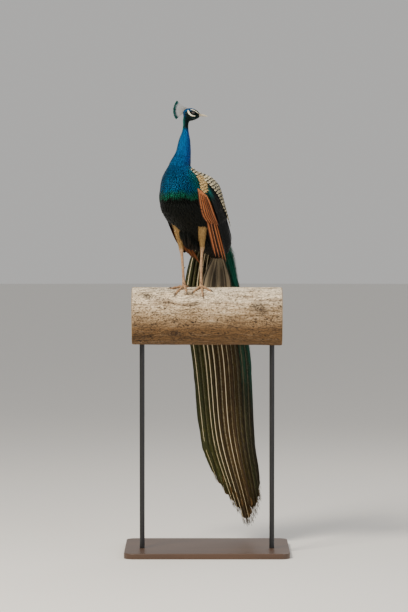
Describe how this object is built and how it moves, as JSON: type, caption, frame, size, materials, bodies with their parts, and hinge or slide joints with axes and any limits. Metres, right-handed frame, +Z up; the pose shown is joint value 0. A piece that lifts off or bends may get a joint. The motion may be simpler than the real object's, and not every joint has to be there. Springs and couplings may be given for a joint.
{
  "type": "peafowl cock, standing",
  "caption": "Life-size peafowl cock standing on a cut length of trunk, head in profile, long train hanging behind the trunk, held by a plain flat-based stand.",
  "frame": {"origin": "on the underside of the stand's base, below the middle of the trunk", "axes": "+Z up; +X along the trunk, to the right as the viewer of the picture sees it; +Y away from that viewer, the side on which the train hangs"},
  "size_m": [0.66, 0.52, 1.8136],
  "materials": {
    "head_plumage": "satin feathers",
    "blue_neck": "glossy feathers",
    "black_green_body": "satin feathers",
    "wing_plumage": "barred and rust feathers",
    "train_plumage": "loose glossy feathers",
    "tail_brown": "plain feathers",
    "thigh_buff": "short feathers",
    "leg_scales": "scaly skin",
    "bill_horn": "smooth horn",
    "eye_dark": "wet gloss",
    "weathered_wood": "bare weathered wood",
    "stand_wood": "satin dark wood",
    "stand_steel": "satin black"
  },
  "bodies": {
    "root": {"head": "head_plumage", "neck": "blue_neck", "torso": "black_green_body", "wing_left": "wing_plumage", "wing_right": "wing_plumage", "train": "train_plumage", "tail": "tail_brown", "thigh_left": "thigh_buff", "thigh_right": "thigh_buff", "shank_left": "leg_scales", "shank_right": "leg_scales", "foot_left": "leg_scales", "foot_right": "leg_scales", "bill_upper": "bill_horn", "bill_lower": "bill_horn", "eye_left": "eye_dark", "eye_right": "eye_dark", "perch": "weathered_wood", "stand_base": "stand_wood", "stand_rod_left": "stand_steel", "stand_rod_right": "stand_steel"}
  },
  "joints": []
}
